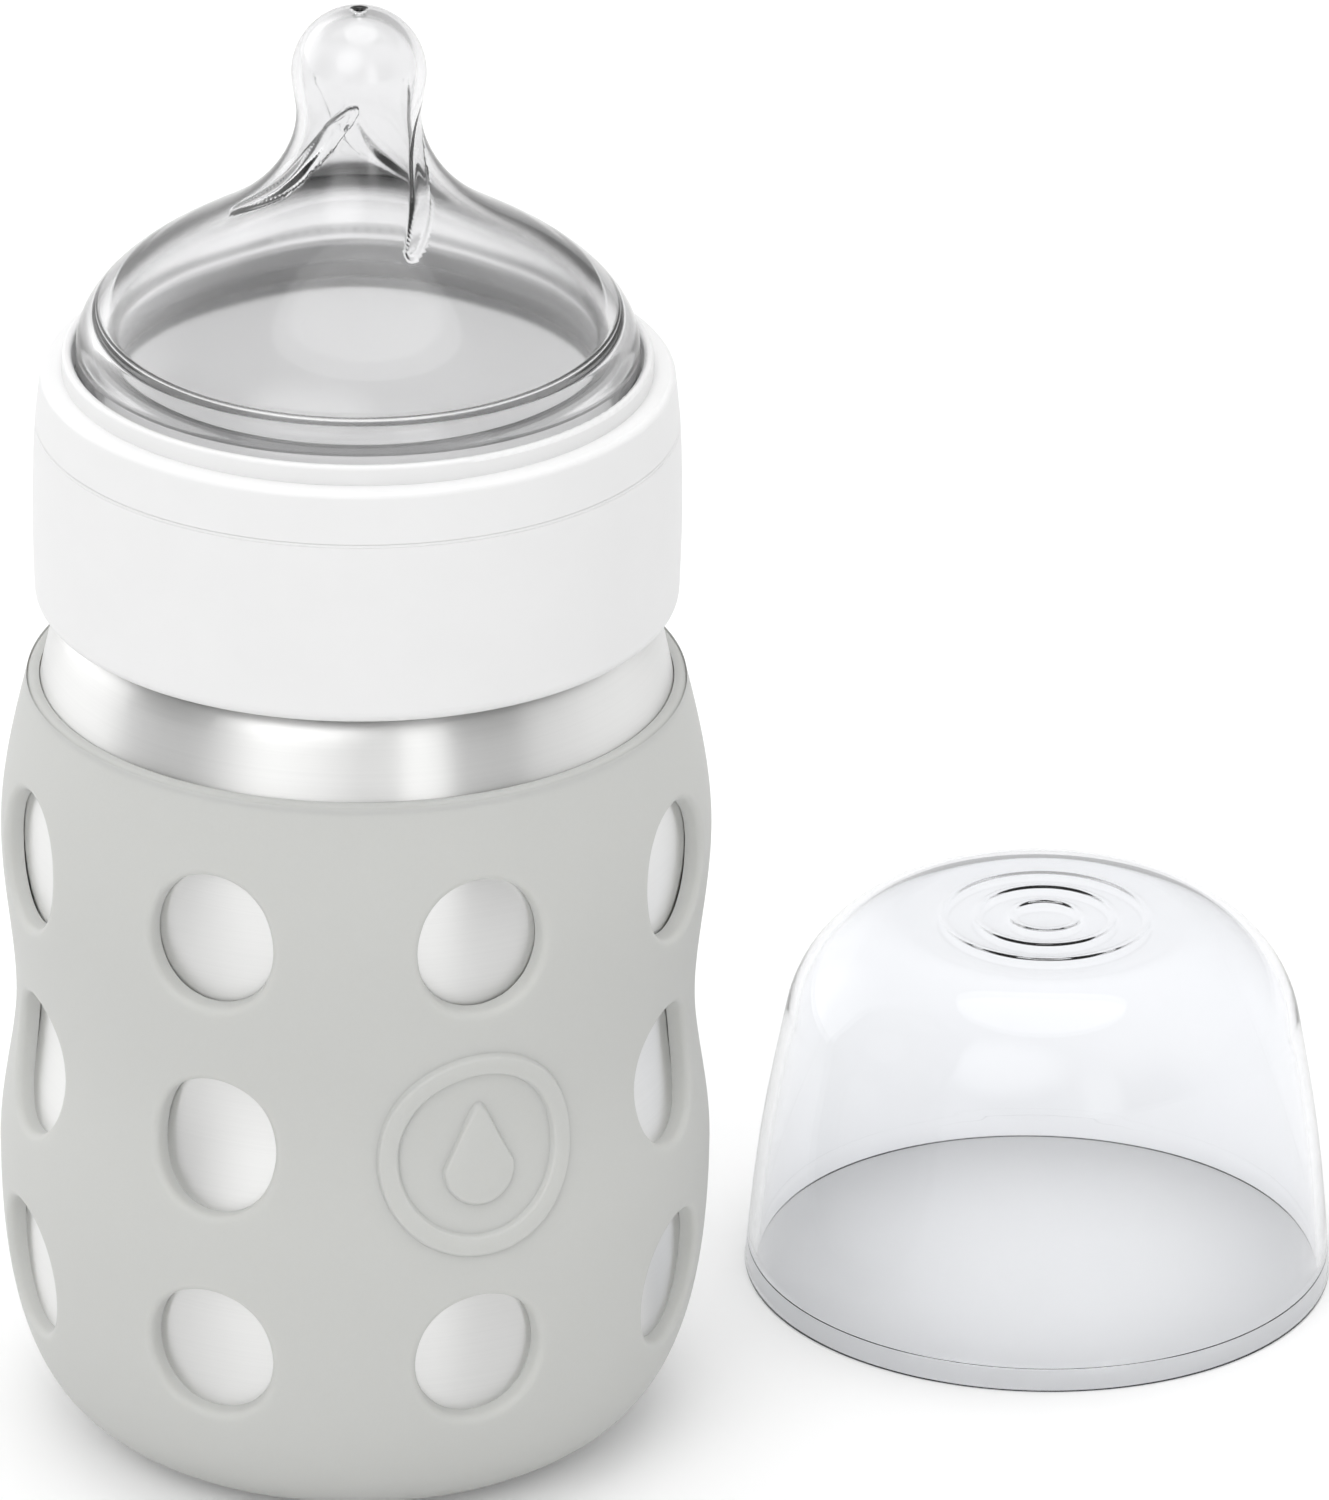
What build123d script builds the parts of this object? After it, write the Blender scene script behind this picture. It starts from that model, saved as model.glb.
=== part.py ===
from build123d import *
import os
from math import cos, pi, sin

# A wide-neck feeding bottle: a steel vessel in a soft sleeve, a nipple held down by a screw ring,
# and the clear cap standing beside it. Millimetres, +Z up. The origin is the middle of the
# underside of the sleeve, the emblem faces -Y, and the cap stands on the same surface towards +X.

# ---- driving dimensions ----

# steel vessel, outer surface
foot_flat_radius = 19.5       # where the flat bottom starts to curve up
foot_handle = 11.4            # how far the bottom runs on flat before it turns
belly_radius = 34.6           # lower, widest part
belly_height = 31.0
belly_handle = 23.0           # how long the wall stays upright below the belly
waist_radius = 32.9
waist_drop = 2.75             # below the middle between belly and chest
chest_radius = 34.35          # upper wide part
chest_drop = 20.8             # below the shoulder
shoulder_radius = 31.3        # where the wall turns in
shoulder_height = 87.3
shoulder_lean = 0.22          # inward slope of the wall below the shoulder
neck_radius = 28.8
shoulder_rise = 5.2           # from the shoulder up to the straight neck
neck_length = 20.3
steel_wall = 0.6
lip_thickness = 1.2           # the rolled lip of the mouth
lip_height = 1.6
lip_round = 0.45

# steel base plate, welded into the open bottom of the vessel
base_plate_inset = 0.7        # from the start of the foot's curve in to the weld
base_plate_land = 3.0         # flat margin between the weld and the dish
base_dish_rise = 1.2
weld_gap = 0.02

# silicone sleeve
sleeve_wall = 2.0
sleeve_top_wall = 1.3         # the sleeve thins towards the shoulder
sleeve_bare_shoulder = 4.3    # height of bare steel between the sleeve's rim and the shoulder
sleeve_rim_round = 0.55
sleeve_gap = 0.02             # between the sleeve and the steel
window_width = 13.2
window_height = 14.4
window_columns = 8
window_rows = 3
window_first_height = 21.5
window_rim_margin = 15.5      # from the middle of the top windows up to the rim
emblem_row = 1                # the front column has its emblem here in place of a window

# screw thread, right-handed, shared by the neck and the ring
thread_pitch = 4.5
thread_turns = 1.75
thread_start_angle = 40       # degrees from +X, where the bead and the ridge begin
neck_bead_radius = 1.4
neck_bead_offset = 4.9        # from the foot of the neck up to the bead's lower end
ring_ridge_radius = 1.25
ring_ridge_turns = 1.25
thread_flank_gap = 0.65       # between a bead and the ridge that it holds down
thread_flank_share = 0.6      # share of the two radii that lies between bead and ridge where they pass
thread_crest_gap = 0.5        # between a crest and the wall that it faces
thread_root = 0.3             # how deep the ring's ridge is rooted in its wall
thread_end_swell = 0.06       # how much rounder the domed ends of a bead or ridge are than the rest

# screw ring
ring_height = 24.9
ring_foot_wall = 2.0          # walls outside the ring's bore
ring_middle_wall = 2.25
ring_top_wall = 1.4
ring_middle_share = 0.36      # height of the widest place, as a share of the ring's height
ring_crease_wall = 1.97       # wall at the faint crease above which the ring tapers faster
ring_crease_drop = 5.4        # from the ring's top down to the crease
ring_foot_round = 1.5
ring_top_round = 0.7
ring_flange = 1.4             # thickness of the top that holds the nipple's flange
ledge_width = 2.2             # the ledge that the cap's rim stands on
collar_height = 2.0           # raised collar that centres the cap
collar_wall = 1.0
collar_round = 0.4
ring_mouth_chamfer = 0.4

# silicone nipple
nipple_flange_thickness = 2.15
nipple_flange_gap = 0.6       # between the flange and the ring's bore
nipple_collar_gap = 0.4       # between the nipple's wall and the collar
seal_gap = 0.05               # above and below the nipple's flange
nipple_rim_wall = 2.7
nipple_dome_wall = 1.5
nipple_throat_wall = 1.2
nipple_bulb_wall = 1.05
dome_foot_height = 6.2        # heights above the underside of the flange
dome_shoulder_height = 13.15
dome_middle_height = 19.15
dome_throat_height = 25.15
dome_neck_height = 31.6
bulb_height = 35.8            # the bulb's centre
dome_shoulder_inset = 4.2     # from the upright wall in to the dome's shoulder
dome_middle_sag = 2.2         # how far the dome's middle lies inside a straight cone
dome_throat_flare = 2.2       # how much wider the throat is than the neck
dome_neck_radius = 6.3
bulb_radius = 6.8
feed_hole_radius = 0.4
feed_funnel_radius = 0.9

# cap
cap_stand_off = 11.55         # between the cap's rim and the widest part of the sleeve
cap_y = 4.6
cap_wall = 1.2
cap_rim_wall = 0.95
cap_gap = 0.2                 # between the cap's rim and the collar
cap_bulge = 0.55              # how far the wall swells beyond a straight cone
cap_shoulder_inset = 3.95     # from the rim in to the shoulder
cap_shoulder_drop = 11.35     # below the cap's top
cap_flat_inset = 12.6         # from the shoulder in to the flat top
cap_shoulder_fullness = 0.55  # share of the way to the corner that the shoulder's curve reaches
cap_nipple_gap = 0.35         # over the tip of the nipple, when the cap is on
cap_seat_play = 0.3           # how much deeper the cap's seat is than the collar is high
cap_rim_round = 0.3

# ---- values that follow ----
chest_height = shoulder_height - chest_drop
waist_height = (belly_height + chest_height) / 2 - waist_drop
neck_base_height = shoulder_height + shoulder_rise
neck_bead_start = neck_base_height + neck_bead_offset
vessel_floor = sleeve_wall + sleeve_gap
sleeve_height = shoulder_height - sleeve_bare_shoulder
window_pitch = (sleeve_height - window_rim_margin - window_first_height) / (window_rows - 1)
base_hole_radius = foot_flat_radius - base_plate_inset
base_plate_radius = base_hole_radius - weld_gap
base_dish_radius = base_hole_radius - base_plate_land
neck_top = neck_base_height + neck_length
ring_bore_radius = neck_radius + neck_bead_radius + thread_crest_gap
ridge_drop = thread_flank_gap + (neck_bead_radius + ring_ridge_radius) * thread_flank_share
flange_bottom = neck_top + seal_gap
flange_top = flange_bottom + nipple_flange_thickness
flange_radius = ring_bore_radius - nipple_flange_gap
ring_roof = flange_top + seal_gap
ring_top = ring_roof + ring_flange
ring_foot = ring_top - ring_height
ring_foot_radius = ring_bore_radius + ring_foot_wall
ring_middle_radius = ring_bore_radius + ring_middle_wall
ring_crease_radius = ring_bore_radius + ring_crease_wall
ring_crease_height = ring_top - ring_crease_drop
ring_top_radius = ring_bore_radius + ring_top_wall
collar_radius = ring_top_radius - ledge_width
ring_mouth_radius = collar_radius - collar_wall
nipple_wall_radius = ring_mouth_radius - nipple_collar_gap
bulb_top = flange_bottom + bulb_height + bulb_radius
cap_height = bulb_top - ring_top + cap_nipple_gap + cap_wall
cap_seat_radius = collar_radius + cap_gap
cap_rim_radius = cap_seat_radius + cap_rim_wall
cap_seat_depth = collar_height + cap_seat_play
cap_shoulder_radius = cap_rim_radius - cap_shoulder_inset
cap_shoulder_height = cap_height - cap_shoulder_drop
cap_flat_radius = cap_shoulder_radius - cap_flat_inset
cap_x = belly_radius + sleeve_wall + cap_stand_off + cap_rim_radius

os.makedirs("parts", exist_ok=True)


def vessel_side(inset, floor, shoulder_inset):
    """Draw the vessel's wall, moved inwards by inset, from the flat bottom up to the shoulder."""
    foot = (foot_flat_radius, floor)
    belly = (belly_radius - inset, belly_height)
    Bezier(
        foot,
        (foot_flat_radius + foot_handle, floor),
        (belly_radius - inset, belly_height - belly_handle),
        belly,
    )
    Spline(
        belly,
        (waist_radius - inset, waist_height),
        (chest_radius - inset, chest_height),
        (shoulder_radius - shoulder_inset, shoulder_height),
        tangents=[(0, 1), (-shoulder_lean, 1)],
    )


def shoulder_turn(inset):
    """Draw the turn from the wall over the shoulder into the neck."""
    start = (shoulder_radius - inset, shoulder_height)
    middle_radius = (shoulder_radius + neck_radius) / 2 - inset
    middle_height = (shoulder_height + neck_base_height) / 2 + 0.5
    Spline(
        start,
        (middle_radius, middle_height),
        (neck_radius - inset, neck_base_height),
        tangents=[(-shoulder_lean, 1), (0, 1)],
    )


# ---- steel vessel: a drawn shell, open at the bottom, with a thread bead and a rolled lip ----
neck_bead_rise = thread_turns * thread_pitch
neck_bead_turn = 2 * pi * thread_turns
neck_bead_end = (neck_radius * cos(neck_bead_turn), neck_radius * sin(neck_bead_turn))

# the bead is a round rib along a helix, with domed ends
with BuildPart() as neck_bead:
    with BuildLine():
        Helix(thread_pitch, neck_bead_rise, neck_radius, center=(0, 0, neck_bead_start))
    with BuildSketch(Plane.XZ):
        with Locations((neck_radius, neck_bead_start)):
            Circle(neck_bead_radius)
    sweep(is_frenet=True)
    with Locations((neck_radius, 0, neck_bead_start), (*neck_bead_end, neck_bead_start + neck_bead_rise)):
        Sphere(neck_bead_radius + thread_end_swell)

# a filled vessel takes the bead first, and the hollow then trims it to the inside of the wall
with BuildPart() as steel_bottle:
    with BuildSketch(Plane.XZ):
        with BuildLine():
            lip_outside = neck_radius - lip_round
            Line((0, vessel_floor), (foot_flat_radius, vessel_floor))
            vessel_side(0, vessel_floor, 0)
            shoulder_turn(0)
            Line((neck_radius, neck_base_height), (neck_radius, neck_top - lip_round))
            CenterArc((lip_outside, neck_top - lip_round), lip_round, 0, 90)
            Line((lip_outside, neck_top), (0, neck_top))
            Line((0, neck_top), (0, vessel_floor))
        make_face()
    revolve(axis=Axis.Z)
    add(neck_bead.part, rotation=(0, 0, thread_start_angle))
    with BuildSketch(Plane.XZ):
        with BuildLine():
            inside_floor = vessel_floor + steel_wall
            inside_neck = neck_radius - steel_wall
            lip_bottom = neck_top - lip_height
            lip_radius = neck_radius - lip_thickness
            lip_slope = lip_bottom + lip_thickness - steel_wall
            Line((0, inside_floor), (foot_flat_radius, inside_floor))
            vessel_side(steel_wall, inside_floor, steel_wall)
            shoulder_turn(steel_wall)
            Line((inside_neck, neck_base_height), (inside_neck, lip_bottom))
            Line((inside_neck, lip_bottom), (lip_radius, lip_slope))
            Line((lip_radius, lip_slope), (lip_radius, neck_top - lip_round))
            CenterArc((lip_radius + lip_round, neck_top - lip_round), lip_round, 90, 90)
            Line((lip_radius + lip_round, neck_top), (0, neck_top))
            Line((0, neck_top), (0, inside_floor))
        make_face()
    revolve(axis=Axis.Z, mode=Mode.SUBTRACT)
    with BuildSketch(Plane.XY.offset(vessel_floor)):
        Circle(base_hole_radius)
    extrude(amount=steel_wall, both=True, mode=Mode.SUBTRACT)
steel_bottle.part.label = "steel_bottle"
export_step(steel_bottle.part, "parts/steel_bottle.step")

# ---- steel base plate: a thin disc, dished upwards, welded into the bottom of the vessel ----
with BuildPart() as base_plate:
    with BuildSketch(Plane.XZ):
        with BuildLine():
            Polyline(
                (0, vessel_floor + base_dish_rise),
                (base_dish_radius - base_dish_rise, vessel_floor + base_dish_rise),
                (base_dish_radius, vessel_floor),
                (base_plate_radius, vessel_floor),
                (base_plate_radius, vessel_floor + steel_wall),
                (base_dish_radius, vessel_floor + steel_wall),
                (base_dish_radius - base_dish_rise, vessel_floor + base_dish_rise + steel_wall),
                (0, vessel_floor + base_dish_rise + steel_wall),
                close=True,
            )
        make_face()
    revolve(axis=Axis.Z)
base_plate.part.label = "base_plate"
export_step(base_plate.part, "parts/base_plate.step")

# ---- silicone sleeve: follows the vessel, closed under the foot, with rows of oval windows ----
with BuildPart() as sleeve:
    with BuildSketch(Plane.XZ):
        with BuildLine():
            Line((0, 0), (foot_flat_radius, 0))
            vessel_side(-sleeve_wall - sleeve_gap, 0, -sleeve_top_wall - sleeve_gap)
            Line((shoulder_radius + sleeve_top_wall + sleeve_gap, shoulder_height), (0, shoulder_height))
            Line((0, shoulder_height), (0, 0))
        make_face()
    revolve(axis=Axis.Z)
    with BuildSketch(Plane.XZ):
        with BuildLine():
            Line((0, sleeve_wall), (foot_flat_radius, sleeve_wall))
            vessel_side(-sleeve_gap, sleeve_wall, -sleeve_gap)
            Line((shoulder_radius + sleeve_gap, shoulder_height), (0, shoulder_height))
            Line((0, shoulder_height), (0, sleeve_wall))
        make_face()
    revolve(axis=Axis.Z, mode=Mode.SUBTRACT)
    with BuildSketch(Plane.XY.offset(sleeve_height)):
        Circle(belly_radius + sleeve_wall * 2)
    extrude(amount=neck_top - sleeve_height, mode=Mode.SUBTRACT)
    fillet(sleeve.faces().sort_by(Axis.Z)[-1].edges(), sleeve_rim_round)
    for row in range(window_rows):
        height = window_first_height + row * window_pitch
        for column in range(window_columns):
            if row == emblem_row and column == 0:
                continue
            angle = -pi / 2 + 2 * pi * column / window_columns
            outward = (cos(angle), sin(angle), 0)
            sideways = (-sin(angle), cos(angle), 0)
            with BuildSketch(Plane(origin=(0, 0, height), x_dir=sideways, z_dir=outward)):
                Ellipse(window_width / 2, window_height / 2)
            extrude(amount=belly_radius + sleeve_wall * 2, mode=Mode.SUBTRACT)
sleeve.part.label = "sleeve"
export_step(sleeve.part, "parts/sleeve.step")

# ---- screw ring: threaded skirt, ledge for the cap, and a raised collar round the nipple ----
with BuildPart() as ring_shell:
    with BuildSketch(Plane.XZ):
        with BuildLine():
            Spline(
                (ring_foot_radius, ring_foot),
                (ring_middle_radius, ring_foot + ring_height * ring_middle_share),
                (ring_crease_radius, ring_crease_height),
            )
            Polyline(
                (ring_crease_radius, ring_crease_height),
                (ring_top_radius, ring_top),
                (collar_radius, ring_top),
                (collar_radius, ring_top + collar_height),
                (ring_mouth_radius, ring_top + collar_height),
                (ring_mouth_radius, ring_roof),
                (ring_bore_radius, ring_roof),
                (ring_bore_radius, ring_foot),
                (ring_foot_radius, ring_foot),
            )
        make_face()
    revolve(axis=Axis.Z)
    ring_circles = ring_shell.edges().filter_by(GeomType.CIRCLE)
    fillet(ring_circles.group_by(Axis.Z)[-1], collar_round)
    ledge_circles = ring_shell.edges().filter_by(GeomType.CIRCLE).filter_by_position(
        Axis.Z, ring_top, ring_top
    )
    fillet(ledge_circles.sort_by(SortBy.RADIUS)[-1], ring_top_round)
    foot_circles = ring_shell.edges().filter_by(GeomType.CIRCLE).group_by(Axis.Z)[0]
    fillet(foot_circles.sort_by(SortBy.RADIUS)[-1], ring_foot_round)
    foot_circles = ring_shell.edges().filter_by(GeomType.CIRCLE).group_by(Axis.Z)[0]
    chamfer(foot_circles.sort_by(SortBy.RADIUS)[0], ring_mouth_chamfer)

# the ridge inside the ring runs just under the neck's bead
ridge_start = neck_bead_start - ridge_drop
ridge_rise = ring_ridge_turns * thread_pitch
with BuildPart() as ring_ridge:
    with BuildLine():
        Helix(thread_pitch, ridge_rise, ring_bore_radius, center=(0, 0, ridge_start))
    with BuildSketch(Plane.XZ):
        with Locations((ring_bore_radius, ridge_start)):
            Circle(ring_ridge_radius)
    sweep(is_frenet=True)
    ridge_end_angle = 2 * pi * ring_ridge_turns
    ridge_end = (ring_bore_radius * cos(ridge_end_angle), ring_bore_radius * sin(ridge_end_angle))
    with Locations((ring_bore_radius, 0, ridge_start), (*ridge_end, ridge_start + ridge_rise)):
        Sphere(ring_ridge_radius + thread_end_swell)
    with BuildSketch(Plane.XY.offset(ring_foot)):
        Circle(ring_bore_radius + thread_root)
    extrude(amount=ring_height, mode=Mode.INTERSECT)

with BuildPart() as ring:
    add(ring_shell.part)
    add(ring_ridge.part, rotation=(0, 0, thread_start_angle))
ring.part.label = "ring"
export_step(ring.part, "parts/ring.step")

# ---- silicone nipple: flange, upright wall, dome, neck and bulb, with a feeding hole ----
bulb_centre = flange_bottom + bulb_height
dome_knots = [
    (nipple_wall_radius, flange_bottom + dome_foot_height),
    (nipple_wall_radius - dome_shoulder_inset, flange_bottom + dome_shoulder_height),
    ((nipple_wall_radius + dome_neck_radius) / 2 - dome_middle_sag, flange_bottom + dome_middle_height),
    (dome_neck_radius + dome_throat_flare, flange_bottom + dome_throat_height),
    (dome_neck_radius, flange_bottom + dome_neck_height),
    (bulb_radius, bulb_centre),
]
dome_walls = [
    nipple_rim_wall,
    (nipple_rim_wall + nipple_dome_wall) / 2,
    nipple_dome_wall,
    nipple_throat_wall,
    nipple_bulb_wall,
    nipple_bulb_wall,
]
dome_curve = Spline(*dome_knots, tangents=[(0, 1), (0, 1)])
inner_knots = []
for (radius, height), wall in zip(dome_knots, dome_walls):
    along = dome_curve.tangent_at((radius, height))
    inner_knots.append((radius - along.Y * wall, height + along.X * wall))

with BuildPart() as nipple:
    with BuildSketch(Plane.XZ):
        with BuildLine():
            Polyline(
                (0, flange_bottom),
                (flange_radius, flange_bottom),
                (flange_radius, flange_top),
                (nipple_wall_radius, flange_top),
                dome_knots[0],
            )
            Spline(*dome_knots, tangents=[(0, 1), (0, 1)])
            CenterArc((0, bulb_centre), bulb_radius, 0, 90)
            Line((0, bulb_centre + bulb_radius), (0, flange_bottom))
        make_face()
    revolve(axis=Axis.Z)
    with BuildSketch(Plane.XZ):
        with BuildLine():
            inner_bulb = bulb_radius - nipple_bulb_wall
            Line((0, flange_bottom), (nipple_wall_radius - nipple_rim_wall, flange_bottom))
            Line((nipple_wall_radius - nipple_rim_wall, flange_bottom), inner_knots[0])
            Spline(*inner_knots, tangents=[(0, 1), (0, 1)])
            CenterArc((0, bulb_centre), inner_bulb, 0, 90)
            Line((0, bulb_centre + inner_bulb), (0, flange_bottom))
        make_face()
    revolve(axis=Axis.Z, mode=Mode.SUBTRACT)
    with Locations((0, 0, bulb_top)):
        CounterSinkHole(feed_hole_radius, feed_funnel_radius, depth=nipple_bulb_wall * 2)
nipple.part.label = "nipple"
export_step(nipple.part, "parts/nipple.step")

# ---- cap: a clear dome with a flat top; a shallow seat inside its rim fits over the collar ----
cap_plane = Plane(origin=(cap_x, cap_y, 0), x_dir=(1, 0, 0), z_dir=(0, -1, 0))


def cap_half(inset):
    """Draw half of the cap's outline, moved inwards by inset: wall, shoulder and flat top."""
    rim = (cap_rim_radius - inset, 0)
    shoulder = (cap_shoulder_radius - inset, cap_shoulder_height)
    middle = ((rim[0] + shoulder[0]) / 2 + cap_bulge, cap_shoulder_height / 2)
    top = cap_height - inset
    drop = top - cap_shoulder_height
    wall = Spline(rim, middle, shoulder)
    lean = wall.tangent_at(1)
    corner_radius = shoulder[0] + lean.X * drop / lean.Y
    Bezier(
        shoulder,
        (
            shoulder[0] + (corner_radius - shoulder[0]) * cap_shoulder_fullness,
            shoulder[1] + drop * cap_shoulder_fullness,
        ),
        (cap_flat_radius + (corner_radius - cap_flat_radius) * cap_shoulder_fullness, top),
        (cap_flat_radius, top),
    )
    Polyline((cap_flat_radius, top), (0, top), (0, 0), rim)


with BuildPart() as cap:
    with BuildSketch(cap_plane):
        with BuildLine():
            cap_half(0)
        make_face()
    revolve(axis=Axis((cap_x, cap_y, 0), (0, 0, 1)))
    with BuildSketch(cap_plane):
        with BuildLine():
            cap_half(cap_wall)
        make_face()
    revolve(axis=Axis((cap_x, cap_y, 0), (0, 0, 1)), mode=Mode.SUBTRACT)
    with BuildSketch(Plane(origin=(cap_x, cap_y, 0))):
        Circle(cap_seat_radius)
    extrude(amount=cap_seat_depth, mode=Mode.SUBTRACT)
    fillet(cap.edges().filter_by(GeomType.CIRCLE).group_by(Axis.Z)[0], cap_rim_round)
cap.part.label = "cap"
export_step(cap.part, "parts/cap.step")
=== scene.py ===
import math

import bmesh
import bpy
import numpy
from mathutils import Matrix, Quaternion, Vector


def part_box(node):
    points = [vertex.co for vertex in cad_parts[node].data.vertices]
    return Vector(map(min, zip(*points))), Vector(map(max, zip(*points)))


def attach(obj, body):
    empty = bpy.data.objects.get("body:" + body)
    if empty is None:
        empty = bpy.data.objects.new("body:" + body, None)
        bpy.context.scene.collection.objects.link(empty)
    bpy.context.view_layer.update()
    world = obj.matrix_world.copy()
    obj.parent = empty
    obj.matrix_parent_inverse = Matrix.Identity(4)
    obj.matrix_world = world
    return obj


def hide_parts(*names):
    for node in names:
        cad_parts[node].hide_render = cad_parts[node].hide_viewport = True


# The looks of a wide-neck feeding bottle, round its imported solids. Metres, +Z up, the emblem faces -Y.
# The steel vessel, its base plate and the screw ring keep their own solids and get finishes here. The
# soft sleeve with its emblem, the clear nipple and the clear cap are modelled here.

bl_info = {
    "name": "Feeding Bottle",
    "version": (1, 0, 0),
    "blender": (4, 5, 0),
    "location": "3D View > Sidebar > Feeding Bottle",
    "description": "Models the sleeve, emblem, nipple and cap of a feeding bottle, with its finishes and stage",
    "category": "Add Mesh",
}

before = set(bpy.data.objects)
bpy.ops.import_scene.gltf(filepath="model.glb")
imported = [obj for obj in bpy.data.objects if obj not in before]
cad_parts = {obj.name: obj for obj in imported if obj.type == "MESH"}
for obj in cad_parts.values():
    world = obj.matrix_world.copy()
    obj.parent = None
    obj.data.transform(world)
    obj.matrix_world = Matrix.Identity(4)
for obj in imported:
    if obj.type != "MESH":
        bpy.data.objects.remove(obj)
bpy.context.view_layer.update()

MM = 0.001
SLEEVE_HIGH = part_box("sleeve")[1]
NIPPLE_LOW, NIPPLE_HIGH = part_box("nipple")
RING_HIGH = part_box("ring")[1]
CAP_LOW, CAP_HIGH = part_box("cap")
CAP_MIDDLE = ((CAP_LOW.x + CAP_HIGH.x) / 2, (CAP_LOW.y + CAP_HIGH.y) / 2)
FRONT = math.radians(-90)
CELLS = 8        # cells of the flat sleeve from one column of windows to the next
ROWS = 6         # cells of it from one row of windows to the next
ROWS_OVER = 8    # cells of it below and above the middles of the lowest and highest windows


def length(name, description, default):
    return bpy.props.FloatProperty(name=name, description=description, default=default, unit="LENGTH")


def count(name, description, default):
    return bpy.props.IntProperty(name=name, description=description, default=default, min=1)


def number(name, description, default):
    return bpy.props.FloatProperty(name=name, description=description, default=default)


def angle(name, description, default):
    return bpy.props.FloatProperty(
        name=name, description=description, default=math.radians(default), subtype="ANGLE"
    )


def colour(name, description, default):
    return bpy.props.FloatVectorProperty(
        name=name, description=description, default=default, size=3, min=0, max=1, subtype="COLOR"
    )


# ---- outlines ----


def smooth_curve(knots, first_slope=None, last_slope=None, steps=8):
    """Points on the smooth curve through the knots. It leaves and arrives along the slopes, and an end
    that has none runs out straight."""
    points = numpy.array(knots, float)
    steps_between = numpy.diff(points, axis=0)
    spans = numpy.linalg.norm(steps_between, axis=1)
    last = len(points) - 1
    rows = numpy.zeros((last + 1, last + 1))
    known = numpy.zeros((last + 1, 2))
    for end, inner, slope in ((0, 1, first_slope), (last, last - 1, last_slope)):
        if slope is None:
            span = min(end, inner)
            rows[end, end], rows[end, inner] = 2, 1
            known[end] = 3 * steps_between[span] / spans[span]
        else:
            rows[end, end] = 1
            known[end] = numpy.array(slope) / numpy.linalg.norm(slope)
    for i in range(1, last):
        before, after = spans[i - 1], spans[i]
        rows[i, i - 1 : i + 2] = after, 2 * (before + after), before
        known[i] = 3 * (after / before * steps_between[i - 1] + before / after * steps_between[i])
    speeds = numpy.linalg.solve(rows, known)
    curve = [tuple(points[0])]
    for i, span in enumerate(spans):
        for step in range(1, steps + 1):
            t = step / steps
            place = (2 * t**3 - 3 * t**2 + 1) * points[i] + (3 * t**2 - 2 * t**3) * points[i + 1]
            place = place + (t**3 - 2 * t**2 + t) * span * speeds[i] + (t**3 - t**2) * span * speeds[i + 1]
            curve.append(tuple(place))
    return curve


def handle_curve(start, first, second, end, steps):
    """Points on the curve from start to end that is drawn by two handles."""
    curve = []
    for step in range(steps + 1):
        t = step / steps
        shares = ((1 - t) ** 3, 3 * t * (1 - t) ** 2, 3 * t * t * (1 - t), t**3)
        corners = (start, first, second, end)
        curve.append(tuple(sum(share * corner[i] for share, corner in zip(shares, corners)) for i in (0, 1)))
    return curve


def arc(centre, radius, start, end, steps):
    """Points on a round from one angle to another, in degrees."""
    turns = [math.radians(start + (end - start) * step / steps) for step in range(steps + 1)]
    return [(centre[0] + radius * math.cos(t), centre[1] + radius * math.sin(t)) for t in turns]


def without_repeats(outline):
    """The outline without points that lie on the one before."""
    nearest = 0.02 * MM
    kept = [outline[0]]
    for point in outline[1:]:
        if math.dist(point, kept[-1]) > nearest:
            kept.append(point)
    return kept


# ---- modelling, step by step as by hand ----


def begin(name):
    """Name the primitive just added, fix its place in its mesh, and open it for modelling."""
    piece = bpy.context.object
    piece.name = name
    piece.data.name = name
    bpy.ops.object.transform_apply(location=True, rotation=True, scale=True)
    bpy.ops.object.mode_set(mode="EDIT")
    bpy.ops.mesh.select_mode(type="VERT")
    bpy.ops.mesh.select_all(action="SELECT")
    return piece


def select_only(piece):
    """Select one piece and make it the active one."""
    bpy.ops.object.select_all(action="DESELECT")
    piece.select_set(True)
    bpy.context.view_layer.objects.active = piece


def reopen(piece):
    """Open a piece for modelling again, with all of it selected."""
    select_only(piece)
    bpy.ops.object.mode_set(mode="EDIT")
    bpy.ops.mesh.select_all(action="SELECT")


def close_outwards():
    """Turn every face of the open piece outwards, and leave it."""
    bpy.ops.mesh.select_all(action="SELECT")
    bpy.ops.mesh.normals_make_consistent(inside=False)
    bpy.ops.object.mode_set(mode="OBJECT")


def extrude_ring(ring, following, centre=(0, 0)):
    """Extrude the selected ring into the following one. A ring is a radius and a height."""
    grow = following[0] / ring[0]
    bpy.ops.mesh.extrude_edges_move(TRANSFORM_OT_translate={"value": (0, 0, following[1] - ring[1])})
    bpy.ops.transform.resize(value=(grow, grow, 1), center_override=(*centre, following[1]))


def pick(piece, test):
    """Select just the points of an open piece that pass a test of their place."""
    bpy.ops.mesh.select_all(action="DESELECT")
    points = bmesh.from_edit_mesh(piece.data)
    for vertex in points.verts:
        vertex.select = bool(test(vertex.co))
    points.select_flush(True)
    bmesh.update_edit_mesh(piece.data)


def on_ring(place, ring, centre):
    """Whether a place lies on a ring, which is a radius and a height."""
    level = abs(place.z - ring[1]) < 0.005 * MM
    return level and abs(math.dist(place.xy, centre) - ring[0]) < 0.02 * MM


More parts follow.
